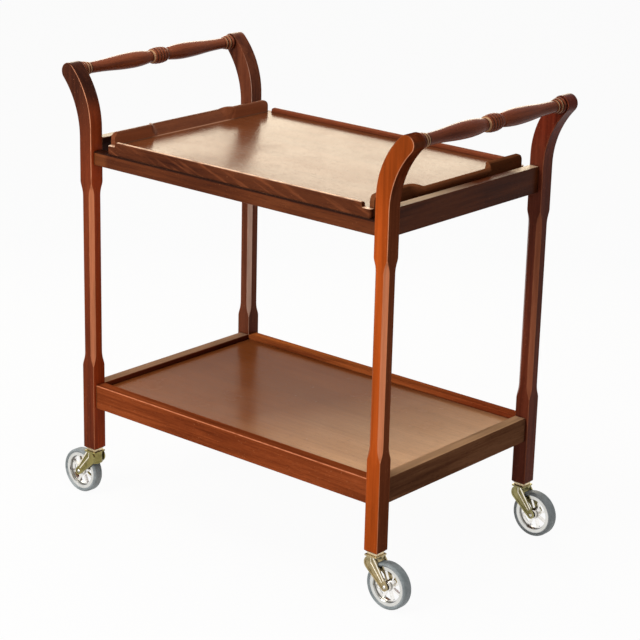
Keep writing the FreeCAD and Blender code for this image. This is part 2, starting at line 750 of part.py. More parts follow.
def make_socket(name, spot):
    """The metal shoe under a leg's foot, with the tube that the stem turns in."""
    body = new_body(name)
    plate = box(body, "Additive", "shoe", "socket_side", "socket_side", "socket_plate",
                "-socket_side / 2", "-socket_side / 2", f"{FOOT} - socket_plate")
    soften(body, plate, "corners",
           lambda edge: abs(edge.Vertexes[0].Z - edge.Vertexes[-1].Z) > worth("socket_plate / 2"),
           "socket_ease")
    cylinder(body, "Additive", "tube", "socket_tube / 2", "socket_length", z=FOOT)
    cylinder(body, "Subtractive", "bore", "stem_diameter / 2 + running_clear",
             "socket_plate + socket_length", z=f"{FOOT} - socket_plate")
    set_down(body, *spot)


def make_stem(name, spot):
    """The upright pin: its head lies under the fork's crown and its shank turns in the leg's tube."""
    body = new_body(name)
    bottom = f"{CROWN_TOP} - crown_thick"
    top = f"{FOOT} + socket_length"
    profile = new_sketch(body, "XZ_Plane", "profile")
    draw(profile, [
        ("0", f"{bottom} - stem_head_thick"),
        ("stem_head / 2", f"{bottom} - stem_head_thick"),
        ("stem_head / 2", bottom),
        ("stem_diameter / 2", bottom),
        ("stem_diameter / 2", f"{top} - stem_tip"),
        ("stem_diameter / 2 - stem_tip", top),
        ("0", top),
    ])
    revolve(body, profile, "turning")
    set_down(body, *spot)


def draw_fork_arm(sketch, inset="0"):
    """Side view of a fork arm: a round lobe under the crown that tapers to a boss round the axle."""
    lobe = worth(f"fork_lobe - {inset}")
    boss = worth(f"fork_boss - {inset}")
    lobe_at = Vector(0, worth(f"{CROWN_TOP} - fork_lobe"), 0)
    boss_at = Vector(worth("castor_trail"), worth(AXLE_HEIGHT), 0)
    run = boss_at - lobe_at
    heading = math.atan2(run.y, run.x)
    spread = math.acos((lobe - boss) / run.Length)
    upright = Vector(0, 0, 1)
    high, low = heading + spread, heading - spread

    def on(centre, radius, angle):
        return centre + Vector(math.cos(angle), math.sin(angle), 0) * radius

    outline = [
        Part.ArcOfCircle(Part.Circle(lobe_at, upright, lobe), high, low + 2 * math.pi),
        Part.LineSegment(on(lobe_at, lobe, low), on(boss_at, boss, low)),
        Part.ArcOfCircle(Part.Circle(boss_at, upright, boss), low, high),
        Part.LineSegment(on(boss_at, boss, high), on(lobe_at, lobe, high)),
    ]
    for geometry in outline:
        sketch.addGeometry(geometry, False)
    for index in range(len(outline)):
        sketch.addConstraint(Sketcher.Constraint("Tangent", index, 2, (index + 1) % len(outline), 1))
    pin(sketch, 0, 3, "0", f"{CROWN_TOP} - fork_lobe")
    pin(sketch, 2, 3, "castor_trail", AXLE_HEIGHT)
    size_radius(sketch, 0, f"fork_lobe - {inset}")
    size_radius(sketch, 2, f"fork_boss - {inset}")


def make_fork(name, spot, turn):
    """A pressed fork: a crown on the swivel axis with a round hood in front, and two arms, each with a rim
    round a shallow recess."""
    body = new_body(name)
    hood_room = f"({CROWN_TOP} - fork_hood - overrun)"
    room_height = "fork_hood + overrun - crown_thick"
    cylinder(body, "Additive", "hood", FORK_OUTER, "fork_hood", z=f"{CROWN_TOP} - fork_hood")
    cylinder(body, "Subtractive", "hood_room", FORK_INNER, room_height, z=hood_room)
    box(body, "Subtractive", "hood_back", f"{FORK_OUTER} + overrun", f"2 * ({FORK_OUTER} + overrun)",
        room_height, "0", f"-({FORK_OUTER} + overrun)", hood_room)
    box(body, "Additive", "crown_back", "fork_lobe", f"2 * {FORK_OUTER}", "crown_thick",
        "-fork_lobe / 2", f"-{FORK_OUTER}", f"{CROWN_TOP} - crown_thick")
    side_view = new_sketch(body, "XZ_Plane", "side_view", f"-{FORK_INNER}")
    draw_fork_arm(side_view)
    arm = extrude(body, "Pad", side_view, "arm", "fork_gauge", reverse=True)
    recess_view = new_sketch(body, "XZ_Plane", "recess_view", f"-{FORK_OUTER}")
    draw_fork_arm(recess_view, "fork_rim")
    recess = extrude(body, "Pocket", recess_view, "recess", "fork_recess", reverse=True)
    mirror(body, [arm, recess], "other_arm", "XZ_Plane")
    cylinder(body, "Subtractive", "stem_hole", "stem_diameter / 2 + glue_clear", "crown_thick + overrun",
             z=f"{CROWN_TOP} - crown_thick")
    cylinder(body, "Subtractive", "axle_hole", "axle_diameter / 2 + glue_clear", f"2 * {FORK_OUTER}",
             "castor_trail", FORK_OUTER, AXLE_HEIGHT, tilt=90)
    set_down(body, *spot, turn=turn)


def make_axle(name, spot):
    """A rivet through the fork and the hub, with a domed head on each side."""
    body = new_body(name)
    seat = f"({FORK_OUTER} - fork_recess)"
    shank = "axle_diameter / 2"
    head = "axle_head / 2"
    dome = f"(({head}) ^ 2 + axle_dome ^ 2) / (2 * axle_dome)"
    profile = new_sketch(body, "XY_Plane", "profile")
    draw(profile, [
        ("0", f"-{seat} - axle_dome"),
        (head, f"-{seat}"),
        (shank, f"-{seat}"),
        (shank, seat),
        (head, seat),
        ("0", f"{seat} + axle_dome"),
    ], {0: (dome, 1), 4: (dome, 1)})
    revolve(body, profile, "turning")
    set_down(body, *spot)


def make_wheel(name, spot):
    """A cast wheel turned about Y: a hub, a web pierced between its spokes, and a rim."""
    body = new_body(name)
    rim_outer = "(wheel_diameter / 2 - tyre_wall)"
    rim_inner = f"({rim_outer} - rim_wall)"
    half = [
        ("axle_diameter / 2 + running_clear", "hub_width / 2"),
        ("hub_diameter / 2", "hub_width / 2"),
        ("hub_diameter / 2", "web_thick / 2"),
        (rim_inner, "web_thick / 2"),
        (rim_inner, "rim_width / 2"),
        (rim_outer, "rim_width / 2"),
    ]
    corners = [(radius, f"-{along}") for radius, along in half] + half[::-1]
    profile = new_sketch(body, "XY_Plane", "profile")
    draw(profile, corners)
    revolve(body, profile, "turning")
    inner = "(hub_diameter / 2 + window_margin)"
    outer = f"({rim_inner} - window_margin)"

    def window_corner(radius, side):
        angle = f"(180 deg / spoke_count - asin(spoke_width / 2 / {radius}))"
        return f"{radius} * cos({angle})", f"{side} * {radius} * sin({angle})"

    window = new_sketch(body, "XZ_Plane", "window")
    draw(window, [window_corner(inner, -1), window_corner(outer, -1), window_corner(outer, 1),
                  window_corner(inner, 1)], {1: (outer, 1), 3: (inner, -1)})
    gap = extrude(body, "Pocket", window, "window", "2 * web_thick", both_ways=True)
    repeat_round(body, gap, "windows", "Y_Axis", "spoke_count")
    set_down(body, *spot)


def make_tyre(name, spot):
    """A rubber tyre on the rim, with a rounded tread."""
    body = new_body(name)
    seat = "(wheel_diameter / 2 - tyre_wall + glue_clear)"
    tread = "wheel_diameter / 2"
    side = "tyre_width / 2"
    shoulder = "(tyre_width / 2 - tyre_round)"
    profile = new_sketch(body, "XY_Plane", "profile")
    draw(profile, [
        (seat, "-rim_width / 2"),
        (f"{tread} - tyre_round / 2", f"-{side}"),
        (tread, f"-{shoulder}"),
        (tread, shoulder),
        (f"{tread} - tyre_round / 2", side),
        (seat, "rim_width / 2"),
    ], {1: ("tyre_round", 1), 3: ("tyre_round", 1)})
    revolve(body, profile, "turning")
    set_down(body, *spot)


def make_castors():
    for name, (side_x, side_y) in LEGS.items():
        leg_x = f"{side_x} * (trolley_length - leg_thick) / 2"
        leg_y = f"{side_y} * (trolley_width - leg_thick) / 2"
        hub = (f"{leg_x} + {side_x} * castor_trail", leg_y, AXLE_HEIGHT)
        make_socket(f"castor_socket_{name}", (leg_x, leg_y))
        make_stem(f"castor_stem_{name}", (leg_x, leg_y))
        make_fork(f"castor_fork_{name}", (leg_x, leg_y), 0 if side_x > 0 else 180)
        make_axle(f"castor_axle_{name}", hub)
        make_wheel(f"castor_wheel_{name}", hub)
        make_tyre(f"castor_tyre_{name}", hub)


def check():
    """Stop with a plain message where a feature failed or a node isn't one sound solid."""
    faults = [item.Name for item in doc.Objects if {"Invalid", "Error"} & set(item.State)]
    for node in nodes:
        shape = node.Shape
        if shape.isNull() or not shape.isValid() or len(shape.Solids) != 1:
            faults.append(node.Label)
    if faults:
        raise RuntimeError("failed: " + ", ".join(faults))


for leg_name, sides in LEGS.items():
    make_leg(leg_name, *sides)
make_rails()
make_shelf()
make_handle("handle_left", -1)
make_handle("handle_right", 1)
make_tray()
make_castors()
doc.recompute()
check()

os.makedirs("parts", exist_ok=True)
for node in nodes:
    node.Shape.exportStep(f"parts/{node.Label}.step")
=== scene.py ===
import math

import bmesh
import bpy
from mathutils import Matrix, Vector


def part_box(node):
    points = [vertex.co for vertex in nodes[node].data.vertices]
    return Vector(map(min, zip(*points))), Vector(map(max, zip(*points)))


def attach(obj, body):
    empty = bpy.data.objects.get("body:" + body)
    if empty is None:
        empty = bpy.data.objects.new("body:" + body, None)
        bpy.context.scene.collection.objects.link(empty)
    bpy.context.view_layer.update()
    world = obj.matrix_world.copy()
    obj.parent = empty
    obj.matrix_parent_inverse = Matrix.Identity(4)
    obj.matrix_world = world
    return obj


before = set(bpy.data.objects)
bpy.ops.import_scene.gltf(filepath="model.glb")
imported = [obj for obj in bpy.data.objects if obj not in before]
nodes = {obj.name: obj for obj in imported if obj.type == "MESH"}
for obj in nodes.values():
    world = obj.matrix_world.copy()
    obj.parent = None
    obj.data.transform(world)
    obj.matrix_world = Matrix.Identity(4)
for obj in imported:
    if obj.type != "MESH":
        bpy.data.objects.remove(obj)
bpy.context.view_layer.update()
scene = bpy.context.scene
scene.view_settings.view_transform = "Standard"

CORNERS = ("front_left", "front_right", "rear_left", "rear_right")
LEFT, RIGHT = (-1, 0, 0), (1, 0, 0)
FRONT, BACK = (0, -1, 0), (0, 1, 0)
UP = (0, 0, 1)
DIAGONAL = math.sqrt(0.5)
FRONT_RIGHT = (DIAGONAL, -DIAGONAL, 0)


def middle(node):
    """Middle of a node's box."""
    return [sum(ends) / 2 for ends in zip(*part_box(node))]


# Materials
def rgb(red, green, blue):
    """A colour as a screen shows it, 0 to 255, in linear light."""
    def linear(value):
        value /= 255
        return value / 12.92 if value <= 0.04045 else ((value + 0.055) / 1.055) ** 2.4
    return (linear(red), linear(green), linear(blue), 1)


def shade(colour, *factors):
    """A colour made darker or lighter, channel by channel."""
    factors = factors * 3 if len(factors) == 1 else factors
    return tuple(value * factor for value, factor in zip(colour, factors)) + (1,)


class Graph:
    """A material's node tree, built from short calls."""

    def __init__(self, name):
        self.material = bpy.data.materials.new(name)
        self.material.use_nodes = True
        self.tree = self.material.node_tree
        self.tree.nodes.clear()
        self.shader = self.add("BsdfPrincipled")
        self.output = self.add("OutputMaterial", {"Surface": self.shader.outputs[0]})

    def add(self, kind, inputs=None, **settings):
        node = self.tree.nodes.new("ShaderNode" + kind)
        for key, value in settings.items():
            setattr(node, key, value)
        self.feed(node, inputs or {})
        return node

    def feed(self, node, inputs):
        for key, value in inputs.items():
            socket = node.inputs[key]
            if isinstance(value, bpy.types.NodeSocket):
                self.tree.links.new(value, socket)
            else:
                socket.default_value = value

    def math(self, operation, *values):
        return self.add("Math", dict(enumerate(values)), operation=operation).outputs[0]

    def spread(self, value, low, high, to_low=0.0, to_high=1.0):
        """Part of a value's range, stretched to another range and held inside it."""
        return self.add("MapRange", {0: value, 1: low, 2: high, 3: to_low, 4: to_high}).outputs[0]

    def mix(self, share, first, second, blend="MIX"):
        return self.add("Mix", {0: share, 6: first, 7: second}, data_type="RGBA", blend_type=blend).outputs[2]

    def dim(self, colour, factor):
        """A colour multiplied by one factor."""
        grey = self.add("CombineColor", {index: factor for index in range(3)}).outputs[0]
        return self.mix(1.0, colour, grey, "MULTIPLY")

    def dot(self, first, second):
        return self.add("VectorMath", {0: first, 1: second}, operation="DOT_PRODUCT").outputs["Value"]

    def run(self, direction):
        """Distance along a direction from the object's origin, in metres."""
        return self.dot(self.add("TexCoord").outputs["Object"], direction)

    def facing(self, direction):
        """1 on faces that look in a direction, and less on those that turn from it."""
        return self.dot(self.add("TexCoord").outputs["Normal"], direction)

    def band(self, distance, place, half, share, core=0.5):
        """A share where a distance is near a place, which fades to 0 at a half width from it."""
        off = self.math("ABSOLUTE", self.math("SUBTRACT", distance, place))
        return self.spread(off, half, half * core, 0, share)

    def place(self, scale=(1, 1, 1), shift=(0, 0, 0), turn=0.0):
        """Position on the object at rest, in metres, turned about Y, stretched and moved for a texture."""
        coordinate = self.add("TexCoord").outputs["Object"]
        if turn:
            coordinate = self.add("VectorRotate", {"Vector": coordinate, "Angle": turn},
                                  rotation_type="Y_AXIS").outputs[0]
        return self.add("Mapping", {"Vector": coordinate, "Location": shift, "Scale": scale}).outputs[0]

    def noise(self, vector, detail=3.0, roughness=0.55, distortion=0.0):
        return self.add("TexNoise", {"Vector": vector, "Scale": 1.0, "Detail": detail,
                                     "Roughness": roughness, "Distortion": distortion}).outputs[0]

    def even_noise(self, scale, shift=(0, 0, 0), detail=3.0, roughness=0.55):
        """Noise of the same scale all ways."""
        return self.noise(self.place((scale, scale, scale), shift), detail, roughness)

    def bump(self, strength, distance, height):
        return self.add("Bump", {"Strength": strength, "Distance": distance, "Height": height}).outputs[0]

    def edges(self, radius):
        """Near 1 along sharp edges and 0 on flat faces."""
        rounded = self.add("Bevel", {"Radius": radius}, samples=6).outputs[0]
        return self.spread(self.dot(rounded, self.add("NewGeometry").outputs["Normal"]), 0.99, 0.8)

    def creases(self, reach, depth):
        """Painted shade: 1 on open faces, down to a lower factor in grooves and where pieces meet."""
        open_share = self.add("AmbientOcclusion", {"Distance": reach}, samples=8).outputs["AO"]
        return self.spread(open_share, 0.35, 0.85, depth, 1)

    def specks(self, scale, radius, share):
        """1 in small round spots that a share of a texture's cells have, and 0 elsewhere."""
        cells = self.add("TexVoronoi", {"Vector": self.place(), "Scale": scale})
        spot = self.spread(cells.outputs["Distance"], radius, radius * 0.6)
        return self.math("MULTIPLY", spot, self.math("GREATER_THAN", cells.outputs["Color"], 1 - share))


def dress(names, material):
    """Gives CAD nodes a material."""
    for name in names:
        node = nodes[name]
        node.data.materials.clear()
        node.data.materials.append(material)


# Wood
SLANT = math.radians(-19)  # between the figure of the front tray board and its length
# Pale bare-wood tone for flecks and worn edges; on the edges it is also a painted highlight
BARE_AND_HIGHLIGHT = rgb(206, 138, 96)
DUST = rgb(238, 226, 208)
PORE = (0.012, 0.004, 0.003, 1)
# Pale tone for a painted sheen on the legs' chamfers
CHAMFER_SHEEN = rgb(212, 132, 94)
SHADOW = rgb(34, 14, 9)
# How squarely a face looks in a direction where a side's or an arris's tone starts, and where it is full
SIDE_FACING = (0.92, 0.98)
ARRIS_FACING = (0.74, 0.88)
ARRIS_FADE = 0.01  # metres below and above an arris's starting height
# Painted shade in grooves and joints: how far it looks for nearby surfaces, and how dark it gets
CREASE_REACH = 0.005  # metres
CREASE_DEPTH = 0.3


def wood(name, grain, mid, roughness=0.3, level=0.04, wear_and_highlight=0.5, seed=0, streaks=0.0, figure=1.0, edge=0.0016, dust=0.0,
         fade=None, sides=(), rings=(), lines=(), arrises=()):
    """Stained and lacquered hardwood, with its grain along one axis.

    fade: direction, where it starts and ends along it, and the factors that it ends at
    sides: direction that a face looks in, tone and share, and as in fade where they start and end, if they do
    rings: distance along Y from the middle, half width, tone and share
    lines: direction, distance along it, half width, tone and share
    arrises: painted highlights along edges: direction that an edge looks in, tone, share, and the height at which they
    start
    """
    g = Graph(name)
    dark = shade(mid, *(1 - figure * drop for drop in (0.64, 0.7, 0.66)))
    light = shade(mid, *(1 + figure * gain for gain in (0.55, 0.75, 0.9)))
    shift = (seed * 3.1, seed * 1.7, seed * 2.3)

    def along(run, across, turn=0.0):
        """Place in a texture, with its scale along and across the grain, per metre."""
        scale = [across] * 3
        scale["XYZ".index(grain)] = run
        return g.place(scale, shift, turn)

    # Figure, fibres and pores
    broad = g.noise(along(2.5, 22), distortion=0.6)
    ribbon = g.noise(along(5, 150), detail=5, roughness=0.62, distortion=0.3)
    fibre = g.noise(along(30, 1400), roughness=0.7)
    pores = g.spread(g.noise(along(75, 2600), detail=1, roughness=0.4), 0.62, 0.7)
    depth = g.math("ADD", g.math("MULTIPLY", broad, 0.55), g.math("MULTIPLY", ribbon, 0.45))
    colour = g.mix(g.spread(depth, 0.33, 0.52), dark, mid)
    colour = g.mix(g.spread(depth, 0.5, 0.7, 0, 0.85), colour, light)
    if streaks:
        slanted = g.noise(along(9, 120, SLANT), roughness=0.5)
        colour = g.mix(g.spread(slanted, 0.52, 0.66, 0, streaks), colour, shade(light, 1.5))
    colour = g.mix(g.spread(fibre, 0.3, 0.7, 0.28, 0), colour, dark)
    colour = g.mix(g.math("MULTIPLY", pores, 0.5), colour, PORE)

    # Tones of single faces, stretches, rings, lines and edges
    for direction, tone, share, *stretch in sides:
        amount = g.spread(g.facing(direction), *SIDE_FACING, 0, share)
        if stretch:
            way, start, end = stretch
            amount = g.math("MULTIPLY", amount, g.spread(g.run(way), start, end))
        grained = g.dim(tone, g.spread(depth, 0.33, 0.7, 1 - 0.5 * figure, 1 + 0.4 * figure))
        colour = g.mix(amount, colour, grained)
    if fade:
        way, start, end, factors = fade
        faded = g.mix(1.0, colour, (*factors, 1), "MULTIPLY")
        colour = g.mix(g.spread(g.run(way), start, end), colour, faded)
    for place, half, tone, share in rings:
        colour = g.mix(g.band(g.math("ABSOLUTE", g.run(BACK)), place, half, share), colour, tone)
    for direction, place, half, tone, share in lines:
        colour = g.mix(g.band(g.run(direction), place, half, share), colour, tone)
    # Painted highlights along arrises, broken up by noise
    for direction, tone, share, base in arrises:
        highlight_breaks = g.spread(g.even_noise(60, shift), 0.3, 0.55, 0.45, 1)
        amount = g.math("MULTIPLY", g.spread(g.facing(direction), *ARRIS_FACING, 0, share), highlight_breaks)
        above = g.spread(g.run(UP), base - ARRIS_FADE, base + ARRIS_FADE)
        colour = g.mix(g.math("MULTIPLY", amount, above), colour, tone)

    # Flecks, dust, worn edges that also carry a painted highlight, and painted shade in creases
    flecks = g.even_noise(420, shift, detail=1)
    colour = g.mix(g.spread(flecks, 0.72, 0.78, 0, 0.35), colour, BARE_AND_HIGHLIGHT)
    if dust:
        colour = g.mix(g.math("MULTIPLY", g.specks(55, 0.045, dust), 0.6), colour, DUST)
    # Edges are painted pale: partly where the stain has worn through, partly a painted highlight along the arrises
    patchy = g.even_noise(35, shift, detail=4, roughness=0.6)
    worn = g.math("MULTIPLY", g.edges(edge), g.spread(patchy, 0.38, 0.62, 0.25, 1))
    colour = g.mix(g.math("MULTIPLY", worn, wear_and_highlight), colour, BARE_AND_HIGHLIGHT)
    # Painted shade in grooves and where pieces meet
    colour = g.dim(colour, g.creases(CREASE_REACH, CREASE_DEPTH))

    smear = g.even_noise(9, shift, detail=5, roughness=0.6)
    gloss = g.math("ADD", g.spread(smear, 0.3, 0.7, roughness - 0.05, roughness + 0.07),
                   g.math("MULTIPLY", pores, 0.12))
    height = g.math("SUBTRACT", g.math("MULTIPLY", ribbon, 0.4), g.math("MULTIPLY", pores, 0.6))
    g.feed(g.shader, {"Base Color": colour, "Roughness": gloss, "Normal": g.bump(0.12, 0.0003, height),
                      "Specular IOR Level": level})
    return g.material


def chamfers(front_right, others):
    """Painted sheen on a leg's four chamfers, a paler tone that stands in for light catching them."""
    return [((x * DIAGONAL, y * DIAGONAL, 0), CHAMFER_SHEEN, front_right if (x, y) == (1, -1) else others)
            for x in (-1, 1) for y in (-1, 1)]


# Legs: a painted highlight along the front-right arris from the given height up, over a wider edge mask; a painted
# highlight on the rear left leg's front-right chamfer; the front right leg's front face painted brighter, as lit
LEG_EDGE = 0.003
LEG_ARRIS = (FRONT_RIGHT, rgb(222, 150, 114), 0.8, 0.585)
LEGS = {
    "front_left": dict(
        mid=rgb(110, 46, 22), wear_and_highlight=0.8, arrises=[LEG_ARRIS], fade=(UP, 0.6, 0.74, (0.42, 0.6, 0.85)),
        sides=chamfers(0.65, 0.3) + [(RIGHT, rgb(180, 72, 32), 0.8)]),
    "front_right": dict(
        mid=rgb(122, 54, 26), wear_and_highlight=0.8, level=0.0, arrises=[LEG_ARRIS], fade=(UP, 0.66, 0.77, (0.8, 0.85, 0.95)),
        sides=chamfers(0.78, 0.3) + [(FRONT, rgb(162, 71, 23), 0.85), (RIGHT, rgb(112, 60, 38), 0.8)]),
    "rear_left": dict(
        mid=rgb(114, 60, 38), sides=chamfers(0.3, 0.3) + [(FRONT_RIGHT, rgb(214, 184, 168), 0.75)]),
    "rear_right": dict(
        mid=rgb(104, 48, 31), wear_and_highlight=0.7, fade=(UP, 0.66, 0.72, (1.1, 0.75, 0.65)), sides=chamfers(0.3, 0.2)),
}
for index, (corner, look) in enumerate(LEGS.items()):
    dress([f"leg_{corner}"], wood(f"leg_wood_{corner}", "Z", seed=index + 1, edge=LEG_EDGE, **look))

# Painted sheen on the tops of the upper end rails, kept beside the tray's upright wings and left out where the flared
# grips shade them
SHEEN_TOP = (UP, rgb(206, 180, 150), 0.85)
RAIL_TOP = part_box("upper_rail_front")[1][2]
TRAY_END = -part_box("tray_end_left")[0][0]
# The front rail is paler beside the left leg: how far left of the middle that starts, and where it is full
RAIL_PALE = (TRAY_END - 0.02, TRAY_END - 0.01)
UPPER = {
    "front": dict(
        mid=rgb(96, 48, 24), lines=[(UP, RAIL_TOP - 0.0008, 0.002, SHADOW, 0.95)],
        sides=[(FRONT, rgb(146, 84, 46), 0.38, LEFT, *RAIL_PALE)]),
    "rear": dict(mid=rgb(112, 58, 34)),
    "left": dict(
        mid=rgb(112, 56, 32),
        sides=[(*SHEEN_TOP, FRONT, 0.088, 0.105), (*SHEEN_TOP, BACK, 0.088, 0.105),
               (RIGHT, SHADOW, 0.9, FRONT, 0.14, 0.165)]),
    "right": dict(
        mid=rgb(90, 44, 22), sides=[(*SHEEN_TOP, FRONT, -0.03, 0.1), (*SHEEN_TOP, BACK, 0.12, 0.14)]),
}
# Lower rails: painted highlights along the front rail's top arrises, painted sheen on the end rails' tops, and painted
# shade on the left rail's inner face
LOWER = {
    "front": dict(
        mid=rgb(134, 64, 32), wear_and_highlight=0.9,
        arrises=[((0, -DIAGONAL, DIAGONAL), rgb(214, 132, 94), 0.9, 0),
                 ((0, DIAGONAL, DIAGONAL), rgb(196, 116, 78), 0.75, 0)]),
    "rear": dict(mid=rgb(196, 108, 54), fade=(RIGHT, -0.1, 0.22, (0.5, 0.36, 0.42))),
    "left": dict(mid=rgb(128, 58, 30), sides=[(UP, rgb(182, 144, 116), 0.85), (RIGHT, rgb(88, 38, 22), 0.8)]),
    "right": dict(mid=rgb(118, 78, 54), sides=[(UP, rgb(196, 156, 120), 0.8)]),
}
for index, side in enumerate(UPPER):
    grain = "X" if side in ("front", "rear") else "Y"
    dress([f"upper_rail_{side}"], wood(f"upper_rail_wood_{side}", grain, seed=index + 11, **UPPER[side]))
    dress([f"lower_rail_{side}"], wood(f"lower_rail_wood_{side}", grain, seed=index + 21, level=0.0, **LOWER[side]))

# Painted highlights on the crests and painted shade in the grooves of a handle's beads and reeds, by their distance
# from its middle
HANDLE_HIGHLIGHTS = (0.1697, 0.1769, 0.0172)
HANDLE_SHADED_GROOVES = (0.0034, 0.0102, 0.0195, 0.1657, 0.1729, 0.1801)
HANDLE_RINGS = [(place, 0.0015, rgb(212, 176, 134), 0.55) for place in HANDLE_HIGHLIGHTS]
HANDLE_RINGS += [(place, 0.0011, rgb(46, 22, 14), 0.8) for place in HANDLE_SHADED_GROOVES]
HANDLES = {"left": rgb(136, 72, 46), "right": rgb(128, 64, 39)}
for index, (side, mid) in enumerate(HANDLES.items()):
    dress([f"handle_{side}"], wood(f"handle_wood_{side}", "Y", mid, roughness=0.2, level=0.05, seed=index + 31,
                                   rings=HANDLE_RINGS))

BOARD_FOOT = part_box("tray_board_front")[0][2]
TRAY_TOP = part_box("tray_panel")[1][2]
# Front tray board: a painted highlight along its top arris and a painted shadow line at its foot
dress(["tray_board_front"],
      wood("tray_front_wood", "X", rgb(84, 41, 21), seed=41, streaks=0.8,
           lines=[(UP, BOARD_FOOT, 0.0014, SHADOW, 0.9)], arrises=[(UP, rgb(244, 202, 170), 0.9, 0)]))
dress(["tray_board_rear"], wood("tray_rear_wood", "X", rgb(120, 60, 36), seed=43))
# Left tray end: its inner face is painted paler, as lit, with a painted highlight line where it meets the panel
dress(["tray_end_left"],
      wood("tray_left_wood", "Y", rgb(122, 68, 42), seed=42, figure=0.6, wear_and_highlight=0.12,
           sides=[(RIGHT, rgb(166, 98, 64), 0.8)], lines=[(UP, TRAY_TOP + 0.0006, 0.001, rgb(196, 146, 116), 0.6)]))
dress(["tray_end_right", "tray_batten_left", "tray_batten_right"],
      wood("tray_right_wood", "Y", rgb(112, 65, 39), seed=44, figure=0.6, level=0.0))
dress(["tray_panel"], wood("tray_panel_wood", "X", rgb(112, 62, 36), seed=51, figure=0.35, roughness=0.17))
# The shelf is painted paler towards its front right: a painted sheen
dress(["shelf_panel"],
      wood("shelf_panel_wood", "X", rgb(136, 74, 36), seed=52, figure=0.22, roughness=0.22, level=0.02, dust=0.35,
           fade=((0.95, -0.3, 0), 0.0, 0.28, (2.4, 4.5, 8.4))))


# Metal and rubber
METAL_EDGE = 0.0014
METAL_CREASE_REACH = 0.004


def metal(name, colour, tarnish, roughness, seed=0, crease=0.25, bands=(), centre=None):
    """Worn metal, with painted highlights on its edges and painted shade in its hollows. Bands are rings of another
    tone round a centre, by their radius.
    """
    g = Graph(name)
    shift = (seed, seed * 0.7, seed * 1.3)
    cloud = g.even_noise(70, shift, detail=5, roughness=0.65)
    fine = g.even_noise(900, shift, detail=2)
    mixed = g.mix(g.spread(cloud, 0.42, 0.68), colour, tarnish)
    # Painted highlight along edges
    mixed = g.mix(g.math("MULTIPLY", g.edges(METAL_EDGE), 0.9), mixed, shade(colour, 1.7, 1.8, 2.1))
    if centre:
        place = g.add("VectorMath", {0: g.add("TexCoord").outputs["Object"], 1: centre},
                      operation="SUBTRACT").outputs[0]
        flat = g.add("VectorMath", {0: place, 1: (1, 0, 1)}, operation="MULTIPLY").outputs[0]
        radius = g.add("VectorMath", {0: flat}, operation="LENGTH").outputs["Value"]
        for middle_radius, half, tone, share in bands:
            mixed = g.mix(g.band(radius, middle_radius, half, share, core=0.6), mixed, tone)
    # Painted shade in grooves and where pieces meet
    mixed = g.dim(mixed, g.creases(METAL_CREASE_REACH, crease))
    rough = g.spread(cloud, 0.3, 0.7, roughness - 0.06, roughness + 0.14)
    g.feed(g.shader, {"Base Color": mixed, "Roughness": rough, "Metallic": 1.0, "Normal": g.bump(0.1, 0.0002, fine)})
    return g.material


def rubber(name):
    """Grey rubber with a worn, speckled face."""
    g = Graph(name)
    cloud = g.even_noise(45, detail=5, roughness=0.65)
    speck = g.even_noise(700, detail=2)
    colour = g.mix(g.spread(cloud, 0.35, 0.65), rgb(112, 121, 125), rgb(150, 158, 162))
    colour = g.mix(g.spread(speck, 0.6, 0.72, 0, 0.5), colour, rgb(66, 70, 72))
    # Painted shade in grooves and where pieces meet
    colour = g.dim(colour, g.creases(CREASE_REACH, CREASE_DEPTH))
    g.feed(g.shader, {"Base Color": colour, "Roughness": g.spread(cloud, 0.3, 0.7, 0.4, 0.6),
                      "Normal": g.bump(0.2, 0.0004, speck)})
    return g.material


FORK_TONES = {
    "front_left": (rgb(146, 134, 82), rgb(104, 96, 54)),
    "front_right": (rgb(176, 158, 118), rgb(126, 112, 78)),
    "rear_left": (rgb(150, 141, 96), rgb(106, 99, 62)),
    "rear_right": (rgb(150, 141, 96), rgb(106, 99, 62)),
}
# Painted shade in rings of a wheel, by their radius: over the face of the rim, beside the tyre, at the rim's inner
# edge and round the hub
WHEEL_SHADE_BANDS = ((0.0308, 0.003, rgb(196, 198, 192), 0.55), (0.0338, 0.0009, rgb(84, 86, 84), 0.6),
               (0.0278, 0.0008, rgb(96, 96, 86), 0.55), (0.0085, 0.001, rgb(120, 114, 96), 0.3))
# Near-white brass on the forks' ridges: a painted highlight along them
ridge_highlight_brass = metal("ridge_highlight_brass", rgb(246, 234, 206), rgb(216, 196, 158), 0.3, 9)
pale_brass = metal("pale_brass", rgb(226, 204, 166), rgb(164, 142, 104), 0.24, 3)
steel = metal("bright_steel", rgb(206, 202, 192), rgb(150, 144, 130), 0.25, 5)
tyre = rubber("grey_rubber")
brass = {}
for corner in CORNERS:
    brass[corner] = metal(f"aged_brass_{corner}", *FORK_TONES[corner], 0.26, crease=0.8)
    chrome = metal(f"wheel_chrome_{corner}", rgb(250, 247, 242), rgb(226, 222, 214), 0.16, 7,
                   bands=WHEEL_SHADE_BANDS, centre=middle(f"castor_wheel_{corner}"))
    dress([f"castor_fork_{corner}"], brass[corner])
    dress([f"castor_socket_{corner}"], pale_brass)
    dress([f"castor_stem_{corner}", f"castor_axle_{corner}"], steel)
    dress([f"castor_wheel_{corner}"], chrome)
    dress([f"castor_tyre_{corner}"], tyre)


# Castor trim, in metres: the plate under the shoe and the pressed ridges along a fork's arms
PLATE_HALF = (0.0129, 0.0139)
PLATE_CORNER = 0.0022
PLATE_CORNER_POINTS = 5
# How far in from the plate's sides, and how far above the fork's top
PLATE_OUTLINE = ((0.0006, -0.0024), (0.0, -0.0018), (0.0, -0.0004), (0.0006, 0.0002))
LOBE = 0.0125  # radius of an arm's top end
RIDGE_HALF = 0.0012
